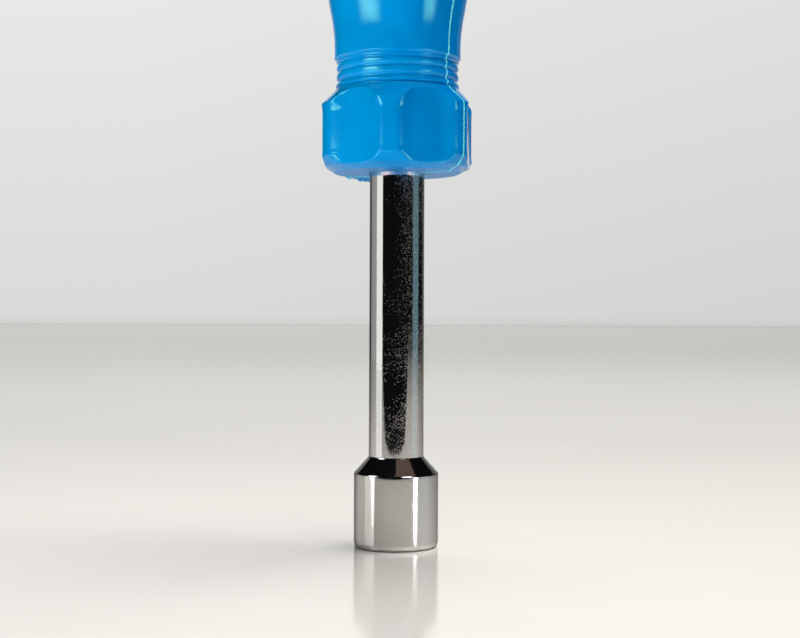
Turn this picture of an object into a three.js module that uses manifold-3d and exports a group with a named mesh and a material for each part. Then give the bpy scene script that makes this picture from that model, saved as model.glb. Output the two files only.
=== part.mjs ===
import * as THREE from 'three';
import { mergeVertices } from 'three/addons/utils/BufferGeometryUtils.js';
import Module from 'manifold-3d';

// A hollow nut driver for half-inch nuts, standing on its socket.
// The origin is the centre of the socket mouth, and +Z runs up the shaft to the handle's butt.
// Lengths are in millimetres. The front is -Y, where one ridge of the bolster points.

// The nut that it drives, and the clearances between pieces
const nutAcrossFlats = 12.7;
const nutClearance = 0.2;
const fitGap = 0.3;
const pressGap = 0.1;
const cutOverrun = 1;

// Hex socket
const socketDiameter = 17.25;
const socketBodyLength = 15.1;
const socketNeckWall = 0.35;
const mouthRoundWidth = 0.85;
const mouthRoundHeight = 0.95;
const hexDepth = 11;
const leadInWidth = 0.6;
const leadInDepth = 0.7;
const nutSeatThickness = 1.5;

// Hollow shaft
const shaftDiameter = 11.2;
const boreDiameter = 8.7;
const handleClearance = 76.2;
const shaftInHandle = 58;
const shaftEndChamfer = 0.4;
const keySlotWidth = 3;
const keySlotLength = 10;

// Torque collar and bore plug, both inside the handle
const collarAcrossFlats = 17;
const collarLength = 14;
const collarChamfer = 0.8;
const plugStemLength = 12;
const plugFlangeThickness = 1.5;

// Handle, measured up from its underside
const handleLength = 111.1;
const bolsterDiameter = 31.9;
const bolsterHeight = 13.6;
const bolsterEdgeWidth = 3.15;
const bolsterEdgeHeight = 3;
const shoulderHeight = 3.2;
const facetDistance = 13.9;
const facetHollowRadius = 17.3;
const throatDiameter = 24;
const throatHeight = 0.15;
const lipDiameter = 25.2;
const lipHeight = 0.5;
const lipSlopeHeight = 1.1;
const ringDiameter = 24.93;
const grooveDepth = 0.4;
const ringPitch = 1.78;
const neckDiameter = 25.6;
const neckEdgeHeight = 0.6;
const neckEdgeRound = 0.45;
const neckEdgeInset = 0.15;
const gripDiameter = 32.4;
const buttFlatDiameter = 19;
const fluteRadius = 12;
const fluteDepth = 1.4;
const fluteLength = 50;
const fluteCentreHeight = 70;

// Butt disc
const discDiameter = 16;
const discThickness = 1.6;
const discChamfer = 0.3;

// Counts
const hexSides = 6;
const ridgeCount = 6;
const ringCount = 2;
const keyCount = 2;
const steelSegments = 48;
const handleSegments = 60;
const fluteSegments = 36;
const fluteCapSegments = 9;
const roundSteps = 4;
const gripSamples = 20;

// Heights that the pieces share
const underside = handleClearance;
const shaftTop = underside + shaftInHandle;
const collarBottom = shaftTop - collarLength;
const shaftBottom = hexDepth + nutSeatThickness;
const plugTop = shaftTop + plugFlangeThickness;
const buttTop = underside + handleLength;

// Each pair is a share of the shoulder's height, going up, and of its width, coming in from the bolster
const shoulderShares = [[0.06, 0.02], [0.16, 0.11], [0.48, 0.45], [0.81, 0.79], [0.94, 0.91], [1, 1]];

// Each pair is a share of the bottom edge's height, going up, and of its width, measured in from the ridges
const bottomEdgeShares = [[0, 1], [0.11, 0.7], [0.34, 0.36], [0.56, 0.18], [0.78, 0.05], [1, 0]];

// Each pair is a share of the grip's length, going up, and of its swell from the neck's radius to the grip's
const gripShares = [
  [0, 0], [0.045, 0.03], [0.084, 0.11], [0.111, 0.22], [0.14, 0.345], [0.175, 0.52], [0.215, 0.7], [0.265, 0.86],
  [0.33, 0.96], [0.44, 1], [0.6, 0.99], [0.74, 0.92], [0.85, 0.76], [0.925, 0.45], [0.975, -0.12],
];

const wasm = await Module();
wasm.setup();

// Turns a closed geometry into a solid, merging its shared corners and dropping the empty triangles at the poles
function solidOf(geometry) {
  geometry.deleteAttribute('normal');
  geometry.deleteAttribute('uv');
  const merged = mergeVertices(geometry);
  const corners = merged.index.array;
  const kept = [];
  for (let i = 0; i < corners.length; i += 3) {
    const [a, b, c] = [corners[i], corners[i + 1], corners[i + 2]];
    if (a !== b && b !== c && c !== a) {
      kept.push(a, b, c);
    }
  }
  const mesh = new wasm.Mesh({
    numProp: 3,
    vertProperties: new Float32Array(merged.attributes.position.array),
    triVerts: new Uint32Array(kept),
  });
  return new wasm.Manifold(mesh);
}

function geometryOf(solid) {
  const mesh = solid.getMesh();
  const geometry = new THREE.BufferGeometry();
  geometry.setAttribute('position', new THREE.BufferAttribute(mesh.vertProperties, 3));
  geometry.setIndex(new THREE.BufferAttribute(mesh.triVerts, 1));
  geometry.computeVertexNormals();
  return geometry;
}

// Turns an outline of [radius, height] points round the Z axis, from the axis at the bottom to the axis at the top
function turned(outline, segments) {
  const points = outline.map(([radius, height]) => new THREE.Vector2(radius, height));
  const geometry = new THREE.LatheGeometry(points, segments);
  geometry.rotateX(Math.PI / 2);
  return solidOf(geometry);
}

function turnedRod(radius, bottom, top, segments) {
  return turned([[0, bottom], [radius, bottom], [radius, top], [0, top]], segments);
}

// A hexagonal bar with two of its flats square to the Y axis
function hexBar(acrossFlats, bottom, top) {
  const cornerRadius = acrossFlats / Math.sqrt(3);
  const outline = new THREE.Shape();
  for (let side = 0; side < hexSides; side += 1) {
    const angle = (side * 2 * Math.PI) / hexSides;
    const corner = [cornerRadius * Math.cos(angle), cornerRadius * Math.sin(angle)];
    if (side === 0) {
      outline.moveTo(...corner);
    } else {
      outline.lineTo(...corner);
    }
  }
  outline.closePath();
  const geometry = new THREE.ExtrudeGeometry(outline, { depth: top - bottom, bevelEnabled: false });
  geometry.translate(0, 0, bottom);
  return solidOf(geometry);
}

// A box whose inner face lies at a given distance from the axis, turned about Z to one of the key places
function keyBlock(width, inner, outer, bottom, top, index) {
  const geometry = new THREE.BoxGeometry(outer - inner, width, top - bottom);
  geometry.translate((inner + outer) / 2, 0, (bottom + top) / 2);
  geometry.rotateZ((index * 2 * Math.PI) / keyCount);
  return solidOf(geometry);
}

function makeHexSocket() {
  const outerRadius = socketDiameter / 2;
  const seatRadius = shaftDiameter / 2 + pressGap;
  const neckRadius = seatRadius + socketNeckWall;
  const top = socketBodyLength + outerRadius - neckRadius;
  const outline = [[0, 0]];
  for (let step = 0; step <= roundSteps; step += 1) {
    const turn = (step / roundSteps) * (Math.PI / 2);
    const inset = mouthRoundWidth * (1 - Math.sin(turn));
    outline.push([outerRadius - inset, mouthRoundHeight * (1 - Math.cos(turn))]);
  }
  outline.push([outerRadius, socketBodyLength], [neckRadius, top], [0, top]);
  const hexAcrossFlats = nutAcrossFlats + nutClearance;
  const leadIn = turned([
    [0, -cutOverrun],
    [hexAcrossFlats / 2 + leadInWidth, -cutOverrun],
    [hexAcrossFlats / 2 + leadInWidth, 0],
    [hexAcrossFlats / 2, leadInDepth],
    [0, leadInDepth],
  ], steelSegments);
  return turned(outline, steelSegments)
    .subtract(hexBar(hexAcrossFlats, -cutOverrun, hexDepth))
    .subtract(leadIn)
    .subtract(turnedRod(boreDiameter / 2, -cutOverrun, top + cutOverrun, steelSegments))
    .subtract(turnedRod(seatRadius, shaftBottom, top + cutOverrun, steelSegments));
}

function makeHollowShaft() {
  const radius = shaftDiameter / 2;
  const tube = turned([
    [0, shaftBottom],
    [radius - shaftEndChamfer, shaftBottom],
    [radius, shaftBottom + shaftEndChamfer],
    [radius, shaftTop - shaftEndChamfer],
    [radius - shaftEndChamfer, shaftTop],
    [0, shaftTop],
  ], steelSegments);
  let shaft = tube.subtract(
    turnedRod(boreDiameter / 2, shaftBottom - cutOverrun, shaftTop + cutOverrun, steelSegments),
  );
  for (let key = 0; key < keyCount; key += 1) {
    const slotBottom = shaftTop - keySlotLength;
    const slotEnd = radius + cutOverrun;
    shaft = shaft.subtract(keyBlock(keySlotWidth, 0, slotEnd, slotBottom, shaftTop + cutOverrun, key));
  }
  return shaft;
}

function makeTorqueCollar() {
  const cornerRadius = collarAcrossFlats / Math.sqrt(3);
  const chamferedBlank = turned([
    [0, collarBottom],
    [cornerRadius - collarChamfer, collarBottom],
    [cornerRadius, collarBottom + collarChamfer],
    [cornerRadius, shaftTop - collarChamfer],
    [cornerRadius - collarChamfer, shaftTop],
    [0, shaftTop],
  ], steelSegments);
  const holeRadius = shaftDiameter / 2 + pressGap;
  let collar = chamferedBlank
    .intersect(hexBar(collarAcrossFlats, collarBottom, shaftTop))
    .subtract(turnedRod(holeRadius, collarBottom - cutOverrun, shaftTop + cutOverrun, steelSegments));
  for (let key = 0; key < keyCount; key += 1) {
    const keyBottom = shaftTop - keySlotLength + fitGap;
    const keyInner = boreDiameter / 2 + fitGap;
    const keyOuter = (holeRadius + collarAcrossFlats / 2) / 2;
    collar = collar.add(keyBlock(keySlotWidth - 2 * fitGap, keyInner, keyOuter, keyBottom, shaftTop, key));
  }
  return collar;
}

function makeBorePlug() {
  const stemRadius = boreDiameter / 2 - pressGap;
  return turned([
    [0, shaftTop - plugStemLength],
    [stemRadius, shaftTop - plugStemLength],
    [stemRadius, shaftTop],
    [shaftDiameter / 2, shaftTop],
    [shaftDiameter / 2, plugTop],
    [0, plugTop],
  ], steelSegments);
}

// The ridged bolster, from the flat underside up to the throat under the lip
function bolsterOutline() {
  const ridgeRadius = bolsterDiameter / 2;
  const outline = bottomEdgeShares.map(([up, inward]) => [
    ridgeRadius - inward * bolsterEdgeWidth,
    underside + up * bolsterEdgeHeight,
  ]);
  const shoulderBottom = underside + bolsterHeight;
  const shoulderWidth = ridgeRadius - lipDiameter / 2;
  outline.push([ridgeRadius, shoulderBottom]);
  for (const [up, inward] of shoulderShares) {
    outline.push([ridgeRadius - inward * shoulderWidth, shoulderBottom + up * shoulderHeight]);
  }
  outline.push([throatDiameter / 2, shoulderBottom + shoulderHeight + throatHeight]);
  return outline;
}

// The sharp lip, the rings above it and the rounded edge where the neck begins
function ringOutline() {
  const ringRadius = ringDiameter / 2;
  const lipLevel = underside + bolsterHeight + shoulderHeight + throatHeight + lipHeight;
  let height = lipLevel + lipSlopeHeight;
  const outline = [[lipDiameter / 2, lipLevel], [ringRadius - grooveDepth, height]];
  for (let ring = 0; ring < ringCount; ring += 1) {
    outline.push([ringRadius, height + ringPitch / 2], [ringRadius - grooveDepth, height + ringPitch]);
    height += ringPitch;
  }
  const neckRadius = neckDiameter / 2;
  outline.push([neckRadius - neckEdgeInset, height + neckEdgeHeight]);
  return outline;
}

function neckBottom() {
  const ringsTop = lipHeight + lipSlopeHeight + ringCount * ringPitch + neckEdgeHeight + neckEdgeRound;
  return underside + bolsterHeight + shoulderHeight + throatHeight + ringsTop;
}

// The neck and grip, a smooth curve through points placed by shares, up to the flat of the butt
function gripOutline() {
  const bottom = neckBottom();
  const length = buttTop - bottom;
  const neckRadius = neckDiameter / 2;
  const swell = (gripDiameter - neckDiameter) / 2;
  const through = gripShares.map(([up, out]) => new THREE.Vector2(neckRadius + out * swell, bottom + up * length));
  through.push(new THREE.Vector2(buttFlatDiameter / 2, buttTop));
  return new THREE.SplineCurve(through).getPoints(gripSamples).map((point) => [point.x, point.y]);
}

// A long round-ended cutter that leaves one hollow flute in the grip
function fluteCutter(index) {
  const geometry = new THREE.CapsuleGeometry(fluteRadius, fluteLength, fluteCapSegments, fluteSegments, 1);
  geometry.rotateX(Math.PI / 2);
  geometry.translate(gripDiameter / 2 + fluteRadius - fluteDepth, 0, underside + fluteCentreHeight);
  geometry.rotateZ((index * 2 * Math.PI) / ridgeCount);
  return solidOf(geometry);
}

// The hollow face between two ridges of the bolster
function facetCutter(index) {
  const bottom = underside - cutOverrun;
  const top = underside + bolsterHeight + shoulderHeight;
  const geometry = new THREE.CylinderGeometry(facetHollowRadius, facetHollowRadius, top - bottom, handleSegments);
  geometry.rotateX(Math.PI / 2);
  geometry.translate(facetDistance + facetHollowRadius, 0, (bottom + top) / 2);
  geometry.rotateZ((index * 2 * Math.PI) / ridgeCount);
  return solidOf(geometry);
}

function makeHandle() {
  const outline = [[0, underside], ...bolsterOutline(), ...ringOutline(), ...gripOutline(), [0, buttTop]];
  let handle = turned(outline, handleSegments);
  for (let side = 0; side < ridgeCount; side += 1) {
    handle = handle.subtract(facetCutter(side)).subtract(fluteCutter(side));
  }
  const shaftHole = shaftDiameter / 2 + fitGap;
  const discSeat = buttTop - discThickness;
  return handle
    .subtract(turnedRod(shaftHole, underside - cutOverrun, plugTop + fitGap, steelSegments))
    .subtract(hexBar(collarAcrossFlats + 2 * fitGap, collarBottom - fitGap, shaftTop + fitGap))
    .subtract(turnedRod(discDiameter / 2 + fitGap, discSeat, buttTop + cutOverrun, steelSegments));
}

function makeButtDisc() {
  const radius = discDiameter / 2;
  return turned([
    [0, buttTop - discThickness],
    [radius, buttTop - discThickness],
    [radius, buttTop - discChamfer],
    [radius - discChamfer, buttTop],
    [0, buttTop],
  ], steelSegments);
}

const bluePlastic = { color: 0x0a8fd6, roughness: 0.28, metalness: 0 };
const chromePlate = { color: 0xc4c6c6, roughness: 0.12, metalness: 1 };
const plainSteel = { color: 0x8d8f90, roughness: 0.45, metalness: 1 };
const darkBluePlastic = { color: 0x0a6fae, roughness: 0.35, metalness: 0 };

function namedMesh(name, solid, finish) {
  const mesh = new THREE.Mesh(geometryOf(solid), new THREE.MeshStandardMaterial(finish));
  mesh.name = name;
  return mesh;
}

const nutDriver = new THREE.Group();
nutDriver.add(
  namedMesh('hex_socket', makeHexSocket(), chromePlate),
  namedMesh('hollow_shaft', makeHollowShaft(), chromePlate),
  namedMesh('torque_collar', makeTorqueCollar(), plainSteel),
  namedMesh('bore_plug', makeBorePlug(), plainSteel),
  namedMesh('handle', makeHandle(), bluePlastic),
  namedMesh('butt_disc', makeButtDisc(), darkBluePlastic),
);

export default nutDriver;
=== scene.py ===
"""The looks of the hollow nut driver: a moulded blue handle on a chromed, hollow socket shaft."""

import math
from typing import NamedTuple

import bpy
import numpy as np
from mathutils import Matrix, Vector


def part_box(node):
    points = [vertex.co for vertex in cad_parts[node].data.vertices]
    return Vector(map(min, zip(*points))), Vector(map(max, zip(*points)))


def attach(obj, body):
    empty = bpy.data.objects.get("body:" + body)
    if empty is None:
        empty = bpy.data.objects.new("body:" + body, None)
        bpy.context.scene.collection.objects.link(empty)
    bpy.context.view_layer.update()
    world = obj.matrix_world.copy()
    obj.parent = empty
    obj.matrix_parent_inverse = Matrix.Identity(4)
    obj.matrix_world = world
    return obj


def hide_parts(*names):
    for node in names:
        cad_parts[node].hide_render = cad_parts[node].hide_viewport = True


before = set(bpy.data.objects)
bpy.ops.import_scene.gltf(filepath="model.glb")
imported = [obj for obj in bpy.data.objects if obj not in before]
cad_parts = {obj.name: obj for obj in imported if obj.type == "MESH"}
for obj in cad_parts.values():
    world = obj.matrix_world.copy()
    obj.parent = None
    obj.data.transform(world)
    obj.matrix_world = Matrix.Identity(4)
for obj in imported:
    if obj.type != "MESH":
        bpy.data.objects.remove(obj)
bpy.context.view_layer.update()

MM = 0.001
BODY = "root"

# The photograph's frame, in pixels, and how the tool stands in it
FRAME_WIDTH_PX = 800
FRAME_HEIGHT_PX = 638
PX_PER_MM = 4.888
MOUTH_ROW_PX = 545.8
HORIZON_ROW_PX = 316.0
AXIS_COLUMN_PX = 396.6
VIEW_DISTANCE_PX = 1400.0
CAMERA_TURN_DEG = 5.3
CAMERA_ROLL_DEG = 0.22
SENSOR_MM = 36.0


def in_mm(box):
    """A box's lowest and highest corners, brought from metres to millimetres."""
    low, high = box
    return low / MM, high / MM


# Sizes that the frame gives, in millimetres
SHAFT_LOW, SHAFT_HIGH = in_mm(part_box("hollow_shaft"))
SOCKET_HIGH = in_mm(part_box("hex_socket"))[1]
HANDLE_LOW, HANDLE_HIGH = in_mm(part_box("handle"))
DISC_LOW, DISC_HIGH = in_mm(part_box("butt_disc"))
PLUG_HIGH = in_mm(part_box("bore_plug"))[1]
COLLAR_LOW, COLLAR_HIGH = in_mm(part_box("torque_collar"))
SHAFT_RADIUS = SHAFT_HIGH.x
SOCKET_RADIUS = SOCKET_HIGH.x
DISC_RADIUS = DISC_HIGH.x
DISC_SEAT = DISC_LOW.z
BUTT_TOP = HANDLE_HIGH.z

# The handle's underside, which hangs a little lower than the solid's
UNDERSIDE_SAG = 0.1
UNDERSIDE = HANDLE_LOW.z - UNDERSIDE_SAG

# Sizes of the bore and the hex recess, in millimetres
BORE_RADIUS = 4.35
HEX_ACROSS_FLATS = 12.9
HEX_DEPTH = 11.0
KEY_SLOT_WIDTH = 3.0
KEY_SLOT_LENGTH = 10.0

# Ridges, facets, flutes and hex flats all repeat six times round the axis
RIDGES = 6
SECTOR = 2 * math.pi / RIDGES

# How a corner is rounded: the most of a side that a fillet takes, and the half angle, in radians, above which
# the corner counts as straight
FILLET_SIDE_SHARE = 0.48
STRAIGHT_HALF_ANGLE = 1.55


def smooth_min(a, b, blend):
    """The smaller of a and b, rounded over where they come within blend of each other."""
    share = np.clip(0.5 + 0.5 * (b - a) / blend, 0.0, 1.0)
    return b + (a - b) * share - blend * share * (1.0 - share)


def smooth_step(low, high, value):
    """A soft rise from 0 at low to 1 at high."""
    share = np.clip((value - low) / (high - low), 0.0, 1.0)
    return share * share * (3.0 - 2.0 * share)


def ripple(values, seed, octaves=3):
    """A smooth random line through the values, between about -1 and 1."""
    random = np.random.default_rng(seed)
    total = np.zeros_like(values)
    waves = 3
    for octave in range(octaves):
        rate = 2.0**octave
        for _ in range(waves):
            stretch = random.uniform(0.7, 1.5)
            start = random.uniform(0.0, 6.28)
            total += np.sin(values * rate * stretch + start) / (waves * rate)
    return total


def spun(arm, angle):
    """A flat vector turned by an angle."""
    across, up = arm
    turned_across = across * math.cos(angle) - up * math.sin(angle)
    turned_up = across * math.sin(angle) + up * math.cos(angle)
    return np.array((turned_across, turned_up))


def rounded_corner(before, here, after, arc_steps):
    """The points that round one corner, or the corner alone where it is nearly straight or has no fillet."""
    corner = np.array(here[:2])
    fillet = here[2]
    back = np.array(before[:2]) - corner
    ahead = np.array(after[:2]) - corner
    back_length = np.linalg.norm(back)
    ahead_length = np.linalg.norm(ahead)
    back = back / back_length
    ahead = ahead / ahead_length
    half_angle = math.acos(max(-1.0, min(1.0, float(back @ ahead)))) / 2
    if fillet <= 0 or half_angle > STRAIGHT_HALF_ANGLE:
        return [tuple(corner)]
    reach = min(fillet / math.tan(half_angle), FILLET_SIDE_SHARE * min(back_length, ahead_length))
    radius = reach * math.tan(half_angle)
    middle = corner + (back + ahead) / np.linalg.norm(back + ahead) * radius / math.sin(half_angle)
    start = corner + back * reach - middle
    end = corner + ahead * reach - middle
    turn = math.atan2(start[0] * end[1] - start[1] * end[0], float(start @ end))
    return [tuple(middle + spun(start, turn * step / arc_steps)) for step in range(arc_steps + 1)]


def rounded(knots, arc_steps=5):
    """A line through knots of (radius, height, fillet) with each inner corner rounded by its fillet."""
    out = [knots[0][:2]]
    for before, here, after in zip(knots, knots[1:], knots[2:]):
        out += rounded_corner(before, here, after, arc_steps)
    out.append(knots[-1][:2])
    return out


def filled(line, spacing):
    """The line with points added where two neighbours lie further apart than the spacing."""
    out = [line[0]]
    for a, b in zip(line, line[1:]):
        parts = max(1, math.ceil(math.dist(a, b) / spacing))
        for part in range(1, parts + 1):
            out.append(tuple(p + (q - p) * part / parts for p, q in zip(a, b)))
    return out


def catmull_rom(a, b, c, d, t):
    """The value a share t of the way from b to c, on a smooth curve that a and d steer."""
    slope = (c - a) * t
    bend = (2 * a - 5 * b + 4 * c - d) * t * t
    twist = (3 * b - a - 3 * c + d) * t**3
    return 0.5 * (2 * b + slope + bend + twist)


def spline(points, samples):
    """A smooth curve through the points, with so many samples between each two."""
    path = [points[0], *points, points[-1]]
    out = []
    for stretch in zip(path, path[1:], path[2:], path[3:]):
        for step in range(samples):
            out.append(tuple(catmull_rom(*values, step / samples) for values in zip(*stretch)))
    out.append(points[-1])
    return out


def band_faces(low, high, columns):
    """The faces between two rows whose first points are numbered low and high."""
    faces = []
    for column in range(columns):
        after = (column + 1) % columns
        faces.append((low + column, low + after, high + after, high + column))
    return faces


def fan_faces(pole, base, columns):
    """The faces from one point on the axis out to a row, turned to be seen from above."""
    return [(pole, base + column, base + (column + 1) % columns) for column in range(columns)]


def round_mesh(name, rows, low_pole=False, high_pole=False, joined=False):
    """A closed mesh from rows of points that each run once round the axis, in millimetres."""
    row_count, columns = rows.shape[:2]
    verts = [tuple(v) for v in rows.reshape(-1, 3) * MM]
    faces = []
    for row in range(row_count if joined else row_count - 1):
        faces += band_faces(row * columns, (row + 1) % row_count * columns, columns)
    if low_pole:
        faces += [(pole, after, here) for pole, here, after in fan_faces(len(verts), 0, columns)]
        verts.append((0.0, 0.0, rows[0, 0, 2] * MM))
    if high_pole:
        faces += fan_faces(len(verts), (row_count - 1) * columns, columns)
        verts.append((0.0, 0.0, rows[-1, 0, 2] * MM))
    mesh = bpy.data.meshes.new(name)
    mesh.from_pydata(verts, [], faces)
    mesh.validate()
    mesh.polygons.foreach_set("use_smooth", np.ones(len(mesh.polygons), bool))
    mesh.update()
    piece = bpy.data.objects.new(name, mesh)
    bpy.context.scene.collection.objects.link(piece)
    return piece


def placed_rows(radius, azimuths, heights):
    """Points at these radii, azimuths and heights. Azimuth 0 is the front, and they run towards +X."""
    right = radius * np.sin(azimuths)
    back = -radius * np.cos(azimuths)
    return np.stack(np.broadcast_arrays(right, back, heights), axis=-1)


def turned_rows(line, azimuths):
    """Rows of points for a plain turned shape."""
    line = np.array(line)
    return placed_rows(line[:, :1], azimuths[None], line[:, 1:2])


def even_turn(columns):
    """Azimuths spread evenly round the axis."""
    return np.arange(columns) * 2 * math.pi / columns


def angle_between(a, b):
    """The angle from b to a, between minus and plus half a turn."""
    return np.mod(a - b + math.pi, 2 * math.pi) - math.pi


# The bolster's six facets, in millimetres. Heights on the handle run up from its underside.
FACET_DISTANCE_LOW = 14.3
FACET_DISTANCE_HIGH = 13.6
FACET_HEIGHTS = (1.0, 15.5)
FACET_EDGE_ASIDE = 5.6
FACET_EDGE_DISTANCE = 14.95
FACET_WALL_SLOPE = 0.55
FACET_WALL_BLEND = 0.8
FACET_END_BLEND = 0.22
FACET_SIDE_BLEND = 1.8
FACET_BLEND_FADE = (1.0, 4.0)
FACET_TOP = 16.75

# The grip and its six flutes
GRIP_RADIUS = 16.2
NECK_RADIUS = 12.92
NECK_BOTTOM = 23.35
BUTT_FLAT_RADIUS = 9.5
FLUTE_RADIUS = 12.0
FLUTE_DEPTH = 1.4
FLUTE_HALF_LENGTH = 25.0
FLUTE_CENTRE = 70.0
FLUTE_BLEND = 0.45

# The shaft's hole, the rooms that the moulding leaves round the hidden steel, and the disc's recess
SHAFT_HOLE_RADIUS = SHAFT_RADIUS + 0.03
SHAFT_HOLE_LEAD = 0.25
ROOM_GAP = 0.3
SEAT_GAP = 0.15
SEAT_BEVEL = 0.12
SEAT_LIFT = 0.02
SEAT_CORNER = 0.4
BUTT_FLAT_INSET = 0.25

# How closely the handle's rows follow each other
UNDERSIDE_SPACING = 0.5
BOLSTER_SPACING = 0.17
BUTT_SPACING = 0.4
GRIP_SAMPLES = 12

# How closely its columns follow each other, in degrees from a ridge's or a parting line's middle
RIDGE_COLUMNS_DEG = np.arange(-15.0, 15.01, 0.75)
FACET_COLUMNS_DEG = np.arange(16.25, 44.0, 1.25)
SEAM_COLUMNS_DEG = np.arange(-1.5, 1.51, 0.15)
SMALLEST_STEP_DEG = 0.09

# The two parting lines, and how far the columns beside them follow their wandering
SEAM_AZIMUTHS = (math.radians(60.0), math.radians(-120.0))
SEAM_PULL_DEG = (3.0, 13.0)
SEAM_HALF_WIDTH = 0.27
SEAM_HEIGHT = 0.2
SEAM_UNDERSIDE_SHARE = 0.8
SEAM_SEED = 11

# How a parting line wavers, thickens and rises along its way, and the quickness of each change
SEAM_WAVER = 0.06
SEAM_WAVER_PACE = 2.6
SEAM_THICKENING = 0.35
SEAM_THICKENING_PACE = 3.3
SEAM_RISE_MIDDLE = 0.85
SEAM_RISE_SWING = 0.6
SEAM_RISE_PACE = 5.1
SEAM_RISE_LIMITS = (0.25, 1.6)

# The far moulded half, which stands out further than the near one along the bolster
HALF_OFFSET = 0.4
HALF_RISE_DEG = (2.0, 30.0)
HALF_FALL_DEG = (60.0, 100.0)
HALF_FOOT_HEIGHT = 1.5
HALF_TOP_HEIGHTS = (11.5, 15.0)

# The ragged flash that hangs under the rim beside the far parting line
FLASH_AZIMUTH_DEG = -138.0
FLASH_HALF_SPAN_DEG = 22.0
FLASH_FULL_SHARE = 0.7
FLASH_RADIUS = 12.6
FLASH_WIDTH = 0.45
FLASH_ROOT_HEIGHT = 0.6
FLASH_DEPTH = 0.8
FLASH_SEED = 93
FLASH_MIDDLE = 0.55
FLASH_SWING = 0.9
FLASH_PACE = 0.16
FLASH_LIMITS = (0.05, 1.2)
FLASH_MARK_SHARE = 0.45
FLASH_MARK_LIMIT = 0.5

# Each row is a radius, a height and the fillet of that corner
BOLSTER_KNOTS = (
    (12.75, 0.0, 0.4),
    (14.75, 1.1, 1.2),
    (15.95, 2.9, 0.9),
    (15.97, 13.6, 0.6),
    (13.3, 16.2, 0.5),
    (12.85, 16.8, 0.15),
    (12.1, 16.9, 0.12),
    (12.62, 17.35, 0.15),
    (12.6, 17.75, 0.15),
    (12.05, 18.5, 0.3),
    (12.3, 18.74, 0.6),
    (12.46, 19.02, 0.8),
    (12.52, 19.4, 0.8),
    (12.46, 19.82, 0.8),
    (12.3, 20.13, 0.6),
    (12.05, 20.4, 0.2),
    (12.28, 20.62, 0.6),
    (12.43, 20.88, 0.8),
    (12.49, 21.2, 0.8),
    (12.43, 21.57, 0.8),
    (12.28, 21.85, 0.6),
    (12.08, 22.1, 0.15),
    (12.5, 22.4, 0.08),
    (12.52, 22.6, 0.05),
    (12.44, 22.72, 0.05),
    (12.9, 23.2, 0.4),
)

# Each pair is a share of the grip's length and of its swell from the neck
GRIP_SHARES = (
    (0, 0),
    (0.045, 0.03),
    (0.084, 0.145),
    (0.111, 0.28),
    (0.14, 0.41),
    (0.175, 0.58),
    (0.215, 0.74),
    (0.265, 0.88),
    (0.33, 0.96),
    (0.44, 1),
    (0.6, 0.99),
    (0.74, 0.92),
    (0.85, 0.76),
    (0.925, 0.45),
    (0.975, -0.12),
)

# Heights, and the degrees by which the parting line has wandered from the ridge's middle there
SEAM_WANDER_HEIGHTS = (0.0, 13.0, 16.5, 22.0, 30.0, 40.0, 55.0, 111.2)
SEAM_WANDER_DEG = (0.5, 0.8, -2.2, -3.4, -2.6, -1.2, 0.0, 0.0)


def handle_line():
    """The handle's plain outline from the shaft hole to the butt: its underside, its bolster and its grip."""
    length = BUTT_TOP - UNDERSIDE
    grip = [
        (NECK_RADIUS + out * (GRIP_RADIUS - NECK_RADIUS), NECK_BOTTOM + up * (length - NECK_BOTTOM))
        for up, out in GRIP_SHARES
    ]
    grip.append((BUTT_FLAT_RADIUS, length))
    hole = (SHAFT_HOLE_RADIUS + SHAFT_HOLE_LEAD, 0.0, 0.0)
    bolster = rounded([hole, *BOLSTER_KNOTS, (*grip[0], 0.0), (*grip[1], 0.0)])
    underside = filled(bolster[:2], UNDERSIDE_SPACING)
    side = filled(bolster[1:-1], BOLSTER_SPACING)
    return underside, side[1:], spline(grip, GRIP_SAMPLES)[1:]


def facet_distance(offset, height):
    """How far from the axis the facet and its steep walls lie, at an angle from the facet's middle."""
    flat = np.interp(height, FACET_HEIGHTS, (FACET_DISTANCE_LOW, FACET_DISTANCE_HIGH))
    aside = np.abs(offset)
    bottom = flat / np.cos(aside)
    start = FACET_EDGE_DISTANCE - FACET_EDGE_ASIDE * FACET_WALL_SLOPE
    wall = start / (np.cos(aside) - FACET_WALL_SLOPE * np.sin(aside))
    return -smooth_min(-bottom, -wall, FACET_WALL_BLEND)


def flute_distance(offset, height):
    """How far the round-ended flute lies from the axis, or far away outside it."""
    centre = GRIP_RADIUS + FLUTE_RADIUS - FLUTE_DEPTH
    past_end = np.maximum(np.abs(height - FLUTE_CENTRE) - FLUTE_HALF_LENGTH, 0.0)
    inside = FLUTE_RADIUS**2 - past_end**2 - (centre * np.sin(offset)) ** 2
    painted_light_near = centre * np.cos(offset) - np.sqrt(np.maximum(inside, 0.0))
    return np.where(inside > 0.0, painted_light_near, 2 * GRIP_RADIUS)


def handle_columns():
    """Azimuths round the handle, closer together near the ridges and closest at the two parting lines."""
    found = []
    for ridge in range(RIDGES):
        found += list(ridge * SECTOR + np.radians([*RIDGE_COLUMNS_DEG, *FACET_COLUMNS_DEG]))
    for seam in SEAM_AZIMUTHS:
        found += list(seam + np.radians(SEAM_COLUMNS_DEG))
    wrapped = np.unique(np.round(np.mod(found, 2 * math.pi), 5))
    keep = np.concatenate([[True], np.diff(wrapped) > math.radians(SMALLEST_STEP_DEG)])
    return wrapped[keep]


def seam_azimuth(seam, height):
    """Where a parting line has wandered to at a height."""
    return seam + np.radians(np.interp(height, SEAM_WANDER_HEIGHTS, SEAM_WANDER_DEG))


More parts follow.
